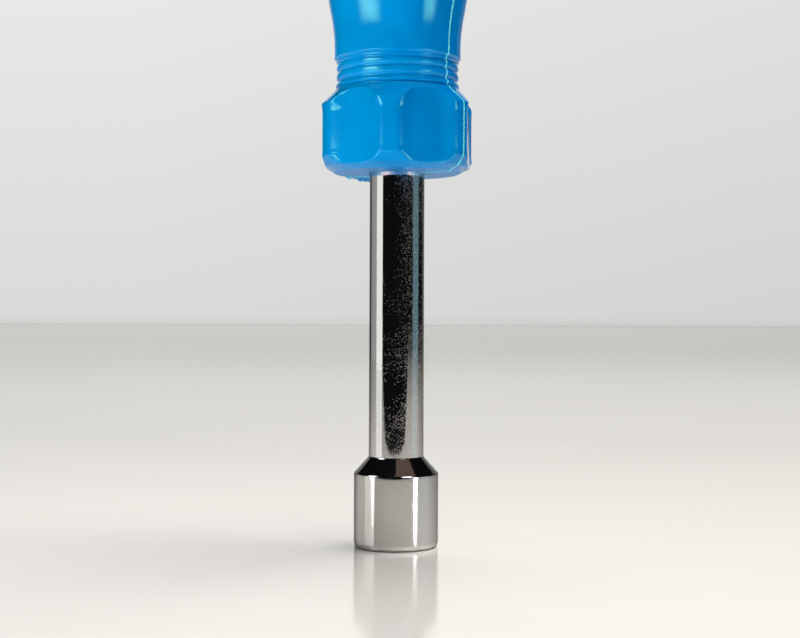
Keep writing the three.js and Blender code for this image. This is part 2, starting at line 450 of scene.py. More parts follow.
def follow_seams(columns, heights):
    """The columns' azimuths at each height, with those beside a parting line led along with it."""
    azimuths = np.repeat(columns[None], len(heights), axis=0)
    for seam in SEAM_AZIMUTHS:
        away = np.abs(angle_between(columns, seam))[None]
        pull = 1.0 - smooth_step(*np.radians(SEAM_PULL_DEG), away)
        azimuths = azimuths + pull * (seam_azimuth(seam, heights) - seam)
    return azimuths


def carved_radius(body, azimuths, heights):
    """The plain outline's radius with the facets cut into the bolster and the flutes into the grip."""
    from_facet = angle_between(np.mod(azimuths, SECTOR), SECTOR / 2)
    from_end = np.minimum(heights, FACET_HEIGHTS[1] - heights)
    blend = FACET_END_BLEND + FACET_SIDE_BLEND * smooth_step(*FACET_BLEND_FADE, from_end)
    facets = smooth_min(body, facet_distance(from_facet, heights), blend)
    radius = np.where(heights < FACET_TOP, facets, body)
    fluted = smooth_min(body, flute_distance(from_facet, heights), FLUTE_BLEND)
    return np.where(heights > NECK_BOTTOM, fluted, radius)


def spread_underside(radius, line, flat_rows):
    """Bring the underside's rows to lie evenly between the shaft hole and the carved rim."""
    hole = line[0, 0]
    plain_rim = line[flat_rows - 1, 0]
    rim = np.minimum(radius[flat_rows], plain_rim)
    for row in range(flat_rows):
        share = (line[row, 0] - hole) / (plain_rim - hole)
        radius[row] = hole + share * (rim - hole)


def parting_line(seam, seed, line, azimuths, radius):
    """Where a parting line runs, from 0 beside it to 1 on it, and how high its uneven ridge stands there."""
    heights = line[:, 1:2]
    path = line[:, 1] + np.where(line[:, 1] > 0, 0.0, -line[:, 0])
    waver = SEAM_WAVER * ripple(path * SEAM_WAVER_PACE, seed, 4)
    thickness = 1.0 + SEAM_THICKENING * ripple(path * SEAM_THICKENING_PACE, seed + 20)
    rise = SEAM_RISE_MIDDLE + SEAM_RISE_SWING * ripple(path * SEAM_RISE_PACE, seed + 40, 4)
    uneven = np.clip(rise, *SEAM_RISE_LIMITS)
    across = angle_between(azimuths, seam_azimuth(seam, heights)) * radius + waver[:, None]
    mark = np.exp(-((across / (SEAM_HALF_WIDTH * thickness[:, None])) ** 2))
    return mark, mark * (SEAM_HEIGHT * uneven)[:, None]


def half_offset(azimuths, heights):
    """How much further out the far moulded half stands than the near one, along the bolster."""
    past = angle_between(azimuths, SEAM_AZIMUTHS[0])
    far_half = smooth_step(*np.radians(HALF_RISE_DEG), past)
    outward = 1.0 - smooth_step(*np.radians(HALF_FALL_DEG), past)
    fading = smooth_step(0.0, HALF_FOOT_HEIGHT, heights) * (1.0 - smooth_step(*HALF_TOP_HEIGHTS, heights))
    return HALF_OFFSET * far_half * outward * fading


def flash_under_rim(azimuths, radius, heights):
    """How far the ragged moulding flash hangs under the rim, and how strongly it is marked for the plastic's
    painted highlight.
    """
    around = np.degrees(angle_between(azimuths, math.radians(FLASH_AZIMUTH_DEG)))
    full = FLASH_FULL_SHARE * FLASH_HALF_SPAN_DEG
    span = 1.0 - smooth_step(full, FLASH_HALF_SPAN_DEG, np.abs(around))
    ragged = FLASH_MIDDLE + FLASH_SWING * ripple(around * FLASH_PACE, FLASH_SEED, 4)
    across = np.exp(-(((radius - FLASH_RADIUS) / FLASH_WIDTH) ** 2)) * (heights < FLASH_ROOT_HEIGHT)
    depth = span * across * np.clip(ragged, *FLASH_LIMITS)
    return FLASH_DEPTH * depth, np.clip(FLASH_MARK_SHARE * depth, 0.0, FLASH_MARK_LIMIT)


def handle_outside(line, columns, flat_rows):
    """The handle's outer rows, and how strongly each point belongs to a parting line or to flash."""
    heights = line[:, 1:2]
    azimuths = follow_seams(columns, heights)
    radius = carved_radius(np.repeat(line[:, :1], len(columns), axis=1), azimuths, heights)
    spread_underside(radius, line, flat_rows)
    on_flat = (np.arange(len(line)) < flat_rows)[:, None]
    down = np.zeros_like(radius)
    marks = np.zeros_like(radius)
    for index, seam in enumerate(SEAM_AZIMUTHS):
        mark, raised = parting_line(seam, SEAM_SEED + index, line, azimuths, radius)
        marks = np.maximum(marks, mark)
        radius = radius + np.where(on_flat, 0.0, raised)
        down = down + np.where(on_flat, raised * SEAM_UNDERSIDE_SHARE, 0.0)
    radius = radius + half_offset(azimuths, heights)
    hanging, mark = flash_under_rim(azimuths, radius, heights)
    marks = np.maximum(marks, mark)
    return placed_rows(radius, azimuths, UNDERSIDE + heights - (down + hanging)), marks


def handle_inside(columns):
    """Rows from the room over the bore plug, down past the collar, to the shaft hole's lead-in."""
    return turned_rows(
        [
            (PLUG_HIGH.x + ROOM_GAP, PLUG_HIGH.z + ROOM_GAP),
            (PLUG_HIGH.x + ROOM_GAP, COLLAR_HIGH.z + ROOM_GAP),
            (COLLAR_HIGH.x + ROOM_GAP, COLLAR_HIGH.z + ROOM_GAP),
            (COLLAR_HIGH.x + ROOM_GAP, COLLAR_LOW.z - ROOM_GAP),
            (SHAFT_HOLE_RADIUS, COLLAR_LOW.z - ROOM_GAP),
            (SHAFT_HOLE_RADIUS, UNDERSIDE + SHAFT_HOLE_LEAD),
        ],
        columns,
    )


def butt_seat(columns):
    """Rows from the butt's flat down into the recess that the disc sits in."""
    wall = DISC_RADIUS + SEAT_GAP
    brim = [(BUTT_FLAT_RADIUS - BUTT_FLAT_INSET, BUTT_TOP), (wall + SEAT_BEVEL, BUTT_TOP)]
    recess = [
        (wall, BUTT_TOP - SEAT_BEVEL),
        (wall, DISC_SEAT + SEAT_LIFT),
        (wall - SEAT_CORNER, DISC_SEAT),
    ]
    return turned_rows(filled(brim, BUTT_SPACING) + recess, columns)


def make_handle():
    """The moulded handle, with an attribute that marks its parting lines and flash for the plastic's painted
    highlight.
    """
    underside, side, grip = handle_line()
    columns = handle_columns()
    inside = handle_inside(columns)
    outside, marks = handle_outside(np.array(underside + side + grip), columns, len(underside))
    seat = butt_seat(columns)
    rows = np.concatenate([inside, outside, seat])
    piece = round_mesh("handle_moulding", rows, low_pole=True, high_pole=True)
    values = np.zeros(len(piece.data.vertices), np.float32)
    first = len(inside) * len(columns)
    values[first : first + marks.size] = marks.ravel()
    layer = piece.data.attributes.new("parting", "FLOAT", "POINT")
    layer.data.foreach_set("value", values)
    return piece


# The disc in the butt, in millimetres
DISC_GAP = 0.02
DISC_SINK = 0.05
DISC_BEVEL = 0.3
DISC_RIM_TOP_INSET = 1.4
DISC_RIM_FOOT_INSET = 1.6
DISC_FACE_DROP = 0.18
DISC_INNERMOST = 0.4
DISC_SPACING = 0.6
DISC_COLUMNS = 96


def make_disc():
    """The disc in the butt, with its bare face a little below its rim."""
    bottom = DISC_SEAT + DISC_GAP
    top = BUTT_TOP - DISC_SINK
    face = top - DISC_FACE_DROP
    line = rounded([
        (DISC_INNERMOST, bottom, 0.0),
        (DISC_RADIUS, bottom, 0.1),
        (DISC_RADIUS, top - DISC_BEVEL, 0.1),
        (DISC_RADIUS - DISC_BEVEL, top, 0.15),
        (DISC_RADIUS - DISC_RIM_TOP_INSET, top, 0.15),
        (DISC_RADIUS - DISC_RIM_FOOT_INSET, face, 0.15),
        (DISC_INNERMOST, face, 0.0),
    ])
    rows = turned_rows(filled(line, DISC_SPACING), even_turn(DISC_COLUMNS))
    return round_mesh("butt_size_disc", rows, low_pole=True, high_pole=True)


# The tube's bevelled ends, the leads into its bore, and how far the slots' cutting block stands out of it
TUBE_BEVEL = 0.4
BORE_LEAD_WIDTH = 0.2
BORE_LEAD_HIGH = 0.3
BORE_LEAD_LOW = 0.2
BORE_LOWEST_ROW = 0.6
TUBE_SPACING = 3.0
TUBE_COLUMNS = 160
CUT_OVERLAP = 1.0


def cut_key_slots(piece, top):
    """Cut the two slots, open at the tube's top end, that the collar's keys sit in."""
    reach = SHAFT_RADIUS + CUT_OVERLAP
    half = KEY_SLOT_WIDTH / 2
    plan = ((-reach, -half), (reach, -half), (reach, half), (-reach, half))
    levels = (top - KEY_SLOT_LENGTH, top + CUT_OVERLAP)
    corners = [(x * MM, y * MM, z * MM) for z in levels for x, y in plan]
    mesh = bpy.data.meshes.new("key_slot_block")
    mesh.from_pydata(corners, [], [(3, 2, 1, 0), (4, 5, 6, 7), *band_faces(0, 4, 4)])
    block = bpy.data.objects.new("key_slot_block", mesh)
    bpy.context.scene.collection.objects.link(block)
    cut = piece.modifiers.new("key_slots", "BOOLEAN")
    cut.operation = "DIFFERENCE"
    cut.solver = "EXACT"
    cut.object = block
    bpy.context.view_layer.update()
    slotted = piece.evaluated_get(bpy.context.evaluated_depsgraph_get())
    slotted_mesh = bpy.data.meshes.new_from_object(slotted)
    piece.modifiers.clear()
    piece.data = slotted_mesh
    bpy.data.objects.remove(block)


def make_shaft():
    """The tube, from its bore's top lead down its outside to its bore's bottom lead."""
    low = SHAFT_LOW.z
    high = SHAFT_HIGH.z
    line = rounded([
        (BORE_RADIUS, high - BORE_LEAD_HIGH, 0.0),
        (BORE_RADIUS + BORE_LEAD_WIDTH, high, 0.05),
        (SHAFT_RADIUS - TUBE_BEVEL, high, 0.1),
        (SHAFT_RADIUS, high - TUBE_BEVEL, 0.1),
        (SHAFT_RADIUS, low + TUBE_BEVEL, 0.1),
        (SHAFT_RADIUS - TUBE_BEVEL, low, 0.1),
        (BORE_RADIUS + BORE_LEAD_WIDTH, low, 0.05),
        (BORE_RADIUS, low + BORE_LEAD_LOW, 0.05),
        (BORE_RADIUS, low + BORE_LOWEST_ROW, 0.0),
    ])
    rows = turned_rows(filled(line, TUBE_SPACING), even_turn(TUBE_COLUMNS))
    piece = round_mesh("hollow_shaft_tube", rows[::-1], joined=True)
    cut_key_slots(piece, high)
    return piece


# The socket head's outside, in millimetres up from its mouth
MOUTH_LIP_WIDTH = 0.95
MOUTH_END_INSET = 0.28
MOUTH_END_HEIGHT = 0.95
SHOULDER_HEIGHT = 15.0
CONE_SLOPE = 1.1
CONE_END_INSET = 0.12
FILLET_RISE = 0.75
TUBE_GAP = 0.015
TUBE_END_GAP = 0.05

# The step from its bore to the hex recess, and the recess down to its lead-in at the mouth
BORE_STEP = 0.15
BORE_STEP_WIDTH = 0.4
RECESS_CORNER_CUT = 0.12
RECESS_CORNER_BLEND = 0.1
RECESS_END_BEVEL = 0.12
RECESS_ROW_HEIGHTS = (8.0, 5.0, 2.5, 1.2, 0.9, 0.75, 0.6, 0.45, 0.3, 0.15, 0.04, 0.0)
LEAD_HEIGHT = 0.7
LEAD_WIDTH = 0.62
LEAD_BLEND = 0.06
MOUTH_ROUNDING = 0.08
SOCKET_SPACING = 0.8
SOCKET_COLUMNS = 240


def hex_radius(azimuths):
    """Radius of the hex recess, with its corners a little rounded and two of its flats square to Y."""
    offset = np.mod(azimuths, SECTOR)
    offset = np.where(offset > SECTOR / 2, offset - SECTOR, offset)
    flat = HEX_ACROSS_FLATS / 2 / np.cos(offset)
    corner = HEX_ACROSS_FLATS / math.sqrt(3) - RECESS_CORNER_CUT
    return smooth_min(flat, np.full_like(flat, corner), RECESS_CORNER_BLEND)


def recess_rows(azimuths):
    """Rows down the hex recess, from its bevelled end to the round lead-in at its mouth."""
    flat = hex_radius(azimuths)
    rows = []
    for height in (HEX_DEPTH, HEX_DEPTH - RECESS_END_BEVEL, *RECESS_ROW_HEIGHTS):
        inset = RECESS_END_BEVEL if height == HEX_DEPTH else 0.0
        opening = MOUTH_ROUNDING if height == 0.0 else 0.0
        lead = HEX_ACROSS_FLATS / 2 + LEAD_WIDTH * (LEAD_HEIGHT - height) / LEAD_HEIGHT
        radius = opening - smooth_min(inset - flat, np.full_like(flat, -lead), LEAD_BLEND)
        rows.append(placed_rows(radius[None], azimuths, height))
    return np.concatenate(rows)


def make_socket():
    """The socket head, from its mouth up its outside, then down through the tube's seat and the recess."""
    azimuths = even_turn(SOCKET_COLUMNS)
    seat = SHAFT_RADIUS + TUBE_GAP
    cone_end = seat + CONE_END_INSET
    top = SOCKET_HIGH.z + FILLET_RISE
    outside = rounded([
        (HEX_ACROSS_FLATS / 2 + MOUTH_LIP_WIDTH, 0.0, 0.0),
        (SOCKET_RADIUS - MOUTH_END_INSET, 0.0, 0.85),
        (SOCKET_RADIUS, MOUTH_END_HEIGHT, 0.85),
        (SOCKET_RADIUS, SHOULDER_HEIGHT, 0.45),
        (cone_end, SHOULDER_HEIGHT + (SOCKET_RADIUS - cone_end) * CONE_SLOPE, 1.15),
        (seat, top, 0.0),
    ])
    ledge = SHAFT_LOW.z - TUBE_END_GAP
    inside = rounded([
        (seat, top, 0.0),
        (seat, ledge, 0.05),
        (BORE_RADIUS, ledge, 0.1),
        (BORE_RADIUS, HEX_DEPTH + BORE_STEP, 0.1),
        (BORE_RADIUS + BORE_STEP, HEX_DEPTH, 0.05),
        (BORE_RADIUS + BORE_STEP_WIDTH, HEX_DEPTH, 0.0),
    ])
    rows = [
        turned_rows(filled(outside, SOCKET_SPACING), azimuths),
        turned_rows(filled(inside, SOCKET_SPACING)[1:], azimuths),
        recess_rows(azimuths),
    ]
    return round_mesh("hex_socket_head", np.concatenate(rows), joined=True)


class Nodes:
    """Short calls for building a node tree."""

    def __init__(self, tree):
        self.tree = tree

    def put(self, value, target):
        """Link the value to the target if it is another node's output, or else set it there."""
        if isinstance(value, bpy.types.NodeSocket):
            self.tree.links.new(value, target)
        else:
            target.default_value = value

    def add(self, kind, inputs=(), **settings):
        """A new node with these settings and inputs."""
        node = self.tree.nodes.new(kind)
        for key, value in settings.items():
            setattr(node, key, value)
        for key, value in dict(inputs).items():
            self.put(value, node.inputs[key])
        return node

    def parts(self, vector):
        """A vector's X, Y and Z."""
        return self.add("ShaderNodeSeparateXYZ", {"Vector": vector}).outputs

    def maths(self, operation, a, b):
        """The result of one mathematical operation on two values."""
        return self.add("ShaderNodeMath", {0: a, 1: b}, operation=operation).outputs["Value"]

    def product(self, first, *others):
        """The values multiplied together."""
        for other in others:
            first = self.maths("MULTIPLY", first, other)
        return first

    def ranged(self, value, low, high, to_low, to_high):
        """The value carried over from one range to another, and held at its ends."""
        limits = {"From Min": low, "From Max": high, "To Min": to_low, "To Max": to_high}
        return self.add("ShaderNodeMapRange", {"Value": value, **limits}).outputs["Result"]


class MaterialNodes(Nodes):
    """A new material, with short calls for building its nodes."""

    def __init__(self, name):
        self.material = bpy.data.materials.new(name)
        self.material.use_nodes = True
        super().__init__(self.material.node_tree)
        self.shader = self.tree.nodes["Principled BSDF"]
        self.coords = self.add("ShaderNodeTexCoord").outputs["Object"]

    def noise(self, scale, detail=3.0, stretch=(1.0, 1.0, 1.0)):
        """Soft noise over the object's own coordinates."""
        spread = self.add("ShaderNodeMapping", {"Vector": self.coords, "Scale": stretch}).outputs["Vector"]
        inputs = {"Vector": spread, "Scale": scale, "Detail": detail}
        return self.add("ShaderNodeTexNoise", inputs).outputs["Fac"]

    def mixed(self, share, a, b):
        """A colour a share of the way from a to b."""
        node = self.add("ShaderNodeMix", data_type="RGBA")
        for socket, value in (("Factor_Float", share), ("A_Color", a), ("B_Color", b)):
            self.put(value, next(s for s in node.inputs if s.identifier == socket))
        return next(s for s in node.outputs if s.identifier == "Result_Color")

    def bump(self, height, strength, distance, before=None):
        """A normal bent by the height, on top of the one before it."""
        node = self.add("ShaderNodeBump", {"Height": height, "Strength": strength, "Distance": distance})
        if before:
            self.put(before, node.inputs["Normal"])
        return node.outputs["Normal"]

    def set(self, **values):
        """Put values into the shader's inputs, named with _ for each space."""
        for key, value in values.items():
            self.put(value, self.shader.inputs[key.replace("_", " ")])


# The middle part of a noise, which most of its values lie in
NOISE_RANGE = (0.3, 0.7)

# The handle's blues, and a paler blue painted along its parting lines and its flash as a painted highlight
BLUE_DEEP = (0.0, 0.212, 0.64, 1)
BLUE_BRIGHT = (0.0, 0.25, 0.73, 1)
BLUE_PARTING_HIGHLIGHT = (0.15, 0.9, 1.0, 1)
BLUE_SHEEN = (0.12, 1.0, 0.88, 1)
PARTING_HIGHLIGHT_RANGE = (0.4, 0.85)
UNDERSIDE_DULLNESS = 0.32
UNDERSIDE_BAND = ((UNDERSIDE + 0.25) * MM, (UNDERSIDE + 0.05) * MM)

# The colours of the disc, of the turned steel and of the pale table, whose far and near colours are painted
# shade and painted light, and whose colour for bounced light is a darker painted shade
DISC_BLUES = ((0.0, 0.13, 0.36, 1), (0.0, 0.17, 0.44, 1))
STEEL_GREYS = ((0.36, 0.36, 0.37, 1), (0.46, 0.46, 0.46, 1))
TABLE_FAR_SHADED_COLOURS = ((0.6, 0.57, 0.525, 1), (0.63, 0.6, 0.555, 1))
TABLE_NEAR_LIT_COLOURS = ((0.92, 0.888, 0.85, 1), (0.94, 0.908, 0.87, 1))
TABLE_BOUNCE_PAINTED_SHADE_COLOUR = (0.55, 0.54, 0.52, 1)

# Where the plate's specks grow denser, in metres: to the right, up towards the handle and down to the socket
SPECKS_RIGHTWARD = (-0.0005, 0.0025)
SPECKS_UPWARD = (0.05, 0.075)
SPECKS_DOWNWARD = (0.032, 0.018)
SPECKS_SCALE = 6500.0
SPECKS_PATCHES = 0.13

# Where painted light makes the table paler towards the tool, and where painted shade makes it darker to the
# tool's left, in metres
TABLE_PAINTED_LIGHT_NEARER = (0.25, -0.06)
TABLE_PAINTED_SHADE_LEFTWARD = (-0.02, -0.35)

# The wall's glow, painted light: its rise and its dark foot, its slope from left to right, and its two dark
# ends, which are painted shade, in metres
WALL_RISE = (0.03, 1.8)
WALL_FOOT = (0.0, 0.05)
WALL_ACROSS = (-2.2, 2.2)
WALL_LEFT_END = (-3.1, -4.3)
WALL_RIGHT_END = (1.8, 3.0)
WALL_LOW_COLOUR = (0.67, 0.67, 0.655, 1)
WALL_HIGH_COLOUR = (0.77, 0.775, 0.76, 1)
WALL_UNSEEN_COLOUR = (0.1, 0.1, 0.1, 1)


def blue_plastic():
    """Glossy blue plastic with a painted highlight, a paler blue, along the parting lines and the flash, and
    duller on the underside.
    """
    n = MaterialNodes("moulded_blue_plastic")
    clouds = n.ranged(n.noise(120.0), *NOISE_RANGE, 0.0, 1.0)
    marks = n.add("ShaderNodeAttribute", attribute_name="parting").outputs["Fac"]
    marks = n.ranged(marks, *PARTING_HIGHLIGHT_RANGE, 0.0, 1.0)
    # The paler blue along the parting lines and the flash is a painted highlight
    paint = n.mixed(marks, n.mixed(clouds, BLUE_DEEP, BLUE_BRIGHT), BLUE_PARTING_HIGHLIGHT)
    normal = n.bump(n.noise(180.0, 2.0, (1.0, 1.0, 0.35)), 0.1, 0.0006)
    normal = n.bump(n.noise(1500.0, 2.0), 0.05, 0.00005, normal)
    glossy = n.ranged(n.noise(400.0), *NOISE_RANGE, 0.07, 0.11)
    under = n.ranged(n.parts(n.coords)["Z"], *UNDERSIDE_BAND, 0.0, UNDERSIDE_DULLNESS)
    n.set(Base_Color=paint, Roughness=n.maths("ADD", glossy, under), Normal=normal)
    n.set(IOR=1.55, Specular_Tint=BLUE_SHEEN)
    n.set(Subsurface_Weight=0.1, Subsurface_Scale=0.002, Subsurface_Radius=(0.3, 0.8, 1.0))
    return n.material


def disc_plastic():
    """Dull, darker blue plastic with a fine grain."""
    n = MaterialNodes("dark_blue_disc_plastic")
    paint = n.mixed(n.noise(300.0), *DISC_BLUES)
    normal = n.bump(n.noise(2500.0, 2.0), 0.15, 0.00005)
    rough = n.ranged(n.noise(600.0), *NOISE_RANGE, 0.32, 0.45)
    n.set(Base_Color=paint, Roughness=rough, Normal=normal, IOR=1.48)
    return n.material


def chrome(name, peel, tint):
    """Polished plate with fine dull specks, more of them on its right-hand side, high up and low down."""
    n = MaterialNodes(name)
    spot = n.parts(n.coords)
    right = n.ranged(spot["X"], *SPECKS_RIGHTWARD, 0.0, 1.0)
    high = n.ranged(spot["Z"], *SPECKS_UPWARD, 0.22, 0.6)
    low = n.ranged(spot["Z"], *SPECKS_DOWNWARD, 0.0, 0.25)
    patches = n.ranged(n.noise(130.0), 0.35, 0.65, -SPECKS_PATCHES, SPECKS_PATCHES)
    density = n.maths("ADD", n.maths("ADD", n.product(right, high), low), patches)
    cells = n.add("ShaderNodeTexVoronoi", {"Vector": n.coords, "Scale": SPECKS_SCALE, "Randomness": 1.0})
    chosen = n.maths("LESS_THAN", n.parts(cells.outputs["Color"])["X"], density)
    dots = n.ranged(cells.outputs["Distance"], 0.5, 0.2, 0.0, 1.0)
    specks = n.product(dots, chosen)
    normal = n.bump(n.noise(420.0, 2.0, (1.0, 1.0, 0.5)), 0.15 * peel, 0.0001)
    normal = n.bump(specks, 0.25 * peel, 0.00002, normal)
    colour = n.mixed(n.noise(200.0), (*[0.96 * t for t in tint], 1), (*tint, 1))
    dull = n.ranged(specks, 0.0, 1.0, 0.05, 0.05 + 0.6 * peel)
    n.set(Base_Color=colour, Metallic=1.0, Specular_Tint=(0.35, 0.35, 0.35, 1), Normal=normal, Roughness=dull)
    return n.material


def turned_steel():
    """Bare steel with the fine lines that turning leaves round it."""
    n = MaterialNodes("turned_steel")
    lines = n.noise(900.0, 2.0, (0.1, 0.1, 6.0))
    normal = n.bump(lines, 0.3, 0.00005)
    colour = n.mixed(n.noise(150.0), *STEEL_GREYS)
    n.set(Base_Color=colour, Metallic=1.0, Roughness=n.ranged(lines, *NOISE_RANGE, 0.35, 0.5), Normal=normal)
    return n.material


def table_surface():
    """A pale, faintly glossy table, with painted light that makes it paler near the tool than far behind it
    and to its left, and painted shade that darkens the light it bounces.
    """
    n = MaterialNodes("pale_table")
    spot = n.parts(n.coords)
    clouds = n.noise(6.0)
    # Painted light: the table grows paler towards the tool
    painted_light_near = n.ranged(spot["Y"], *TABLE_PAINTED_LIGHT_NEARER, 0.0, 1.0)
    paint = n.mixed(painted_light_near, n.mixed(clouds, *TABLE_FAR_SHADED_COLOURS), n.mixed(clouds, *TABLE_NEAR_LIT_COLOURS))
    # Painted shade: the table grows darker to the tool's left
    shade = n.ranged(spot["X"], *TABLE_PAINTED_SHADE_LEFTWARD, 0.99, 0.86)
    shaded = n.add("ShaderNodeVectorMath", {0: paint, "Scale": shade}, operation="SCALE").outputs["Vector"]
    # Painted shade: a darker colour for bounced light dims what the table throws onto the handle
    bounced = n.add("ShaderNodeLightPath").outputs["Is Diffuse Ray"]
    n.set(Base_Color=n.mixed(bounced, shaded, TABLE_BOUNCE_PAINTED_SHADE_COLOUR), Roughness=0.12, IOR=1.45)
    return n.material


def wall_surface():
    """A wall that glows for the camera and for reflections alone, a painted light that is brighter at its top
    and its left and brighter still in reflections.

    Its foot is darker, and so are its two ends, which lie outside the camera's view: painted shade.
    """
    n = MaterialNodes("pale_wall")
    spot = n.parts(n.coords)
    colour = n.mixed(n.ranged(spot["Z"], *WALL_RISE, 0.0, 1.0), WALL_LOW_COLOUR, WALL_HIGH_COLOUR)
    across = n.ranged(spot["X"], *WALL_ACROSS, 1.045, 0.955)
    left_end = n.ranged(spot["X"], *WALL_LEFT_END, 1.0, 0.35)
    right_end = n.ranged(spot["X"], *WALL_RIGHT_END, 1.0, 0.2)
    foot = n.ranged(spot["Z"], *WALL_FOOT, 0.93, 1.0)
    path = n.add("ShaderNodeLightPath").outputs
    # Painted reflection: the wall glows brighter for reflections than for the camera
    mirrored = n.ranged(path["Is Glossy Ray"], 0.0, 1.0, 1.0, 1.12)
    strength = n.product(across, n.product(left_end, right_end), foot, mirrored)
    glow = n.add("ShaderNodeEmission", {"Color": colour, "Strength": strength}).outputs["Emission"]
    dark = n.add("ShaderNodeBsdfDiffuse", {"Color": WALL_UNSEEN_COLOUR}).outputs["BSDF"]
    seen = n.maths("MAXIMUM", path["Is Camera Ray"], path["Is Glossy Ray"])
    shown = n.add("ShaderNodeMixShader", {0: seen, 1: dark, 2: glow}).outputs["Shader"]
    n.put(shown, n.tree.nodes["Material Output"].inputs["Surface"])
    return n.material


def place(piece, node, material):
    """Give a piece its material and put it in place of the frame's solid."""
    piece.data.materials.append(material)
    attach(piece, BODY)
    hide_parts(node)


def finish_hidden(node, material):
    """Give a material to a solid of the frame that stays as it is."""
    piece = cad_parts[node]
    if not piece.material_slots:
        piece.data.materials.append(material)
    for slot in piece.material_slots:
        slot.material = material


# What the camera can see, and the table's and the wall's edges from the tool, in metres
NEAREST_SEEN = 0.01
FARTHEST_SEEN = 20.0
TABLE_FRONT = 0.19
TABLE_FRONT_HALF_WIDTH = 0.16
TABLE_CORNER = 3.9
TABLE_BACK = 7.4
ROOM_HALF_WIDTH = 6.0
WALL_DISTANCE = 7.46
WALL_BOTTOM = -0.3
WALL_TOP = 4.0

# The world's colour for the camera, and for all other light
WORLD_PALE_COLOUR = (0.76, 0.765, 0.75, 1)
WORLD_DARK_COLOUR = (0.004, 0.004, 0.0045, 1)


def direction(azimuth_deg):
    """A level unit vector from the tool, at an azimuth from the camera's side towards its right."""
    azimuth = math.radians(azimuth_deg + CAMERA_TURN_DEG)
    return Vector((math.sin(azimuth), -math.cos(azimuth), 0.0))


def turned_towards(target, origin):
    """The rotation that points a camera or a lamp at the target."""
    return (Vector(target) - origin).to_track_quat("-Z", "Y").to_euler()


def add_camera():
    """The photograph's camera, worked out from the rows and columns measured in the photograph."""
    px = MM / PX_PER_MM
    distance = VIEW_DISTANCE_PX * px
    eye_height = (MOUTH_ROW_PX - HORIZON_ROW_PX) * px
    middle_height = (MOUTH_ROW_PX - FRAME_HEIGHT_PX / 2) * px
    aside = direction(90.0) * ((FRAME_WIDTH_PX / 2 - AXIS_COLUMN_PX) * px)
    data = bpy.data.cameras.new("camera")
    data.sensor_fit = "HORIZONTAL"
    data.sensor_width = SENSOR_MM
    data.lens = VIEW_DISTANCE_PX / FRAME_WIDTH_PX * SENSOR_MM
    data.clip_start = NEAREST_SEEN
    data.clip_end = FARTHEST_SEEN
    camera = bpy.data.objects.new("camera", data)
    camera.location = direction(0.0) * distance + aside + Vector((0, 0, eye_height))
    camera.rotation_euler = turned_towards(aside + Vector((0, 0, middle_height)), camera.location)
    camera.rotation_euler.rotate_axis("Z", math.radians(CAMERA_ROLL_DEG))
    bpy.context.scene.collection.objects.link(camera)
    bpy.context.scene.camera = camera


def add_sheet(name, corners, material):
    """A flat part of the studio."""
    mesh = bpy.data.meshes.new(name)
    mesh.from_pydata(corners, [], [tuple(range(len(corners)))])
    mesh.materials.append(material)
    sheet = bpy.data.objects.new(name, mesh)
    bpy.context.scene.collection.objects.link(sheet)


def soften(data):
    """Fade a rectangular lamp out towards its two sides and its two ends."""
    data.use_nodes = True
    n = Nodes(data.node_tree)
    spot = n.parts(n.add("ShaderNodeNewGeometry").outputs["Parametric"])
    fades = []
    for axis, share in (("X", 0.8), ("Y", 0.5)):
        inward = {"Value": n.maths("PINGPONG", spot[axis], 0.5), "From Max": 0.5 * share}
        fade = n.add("ShaderNodeMapRange", inward, interpolation_type="SMOOTHSTEP")
        fades.append(fade.outputs["Result"])
    n.put(n.product(*fades), n.tree.nodes["Emission"].inputs["Strength"])


class Lamp(NamedTuple):
    """A rectangular lamp that the camera doesn't see. Without an aim it lies flat and shines upward."""

    name: str
    azimuth: float
    distance: float
    height: float
    size: tuple
    watts: float
    colour: tuple
    aim: tuple | None = (0, 0, 0.09)
    spread: float = 180
    seen: bool = True
    soft: bool = False


# The lamp over the tool, and the one that lights the table behind it
ROOM_LAMPS = (
    Lamp("key_overhead", 112, 0.27, 1.0, (0.62, 0.75), 13.25, (1.0, 0.975, 0.94), aim=(0, 0, 0), seen=False),
    Lamp("back_fill", 180, 4.5, 2.5, (3.5, 2.0), 32, (1.0, 0.985, 0.96), aim=(0, 4.5, 0), seen=False),
)

# Cards that the chrome mirrors, and that light the table too
METAL_CARDS = (
    Lamp("left_card", -77, 1.0, 0.1, (0.55, 0.2), 0.3, (0.99, 1.0, 0.96)),
    Lamp("left_back_card", -113, 1.2, 0.1, (0.95, 0.4), 0.36, (1.0, 1.0, 0.98)),
    Lamp("right_panel", 87, 1.2, 0.11, (0.68, 0.3), 0.13, (0.45, 0.82, 1.0)),
)

# Narrow strips for the highlights on the socket's mouth and shoulder, and a warm panel overhead
MOUTH_AIM = (0, 0, 0.0065)
SHOULDER_AIM = (0, 0, 0.016)
WHITE = (1.0, 1.0, 1.0)
STRIPS = (
    Lamp("low_strip", 53, 0.04, 0.0065, (0.012, 0.013), 0.00019, (0.97, 1.0, 1.0), MOUTH_AIM, 20),
    Lamp("low_strip_left", -66, 0.04, 0.0065, (0.018, 0.013), 0.000028, (1.0, 0.98, 0.94), MOUTH_AIM, 20),
    Lamp("left_upper_strip", -72, 0.032, 0.037, (0.02, 0.03), 0.0006, WHITE, SHOULDER_AIM, 36),
    Lamp("right_upper_strip", 34, 0.032, 0.037, (0.023, 0.03), 0.0007, WHITE, SHOULDER_AIM, 36),
    Lamp("warm_panel", 55, 0.24, 0.75, (0.5, 0.3), 0.055, (1.0, 0.66, 0.55), (0, 0, 0)),
)

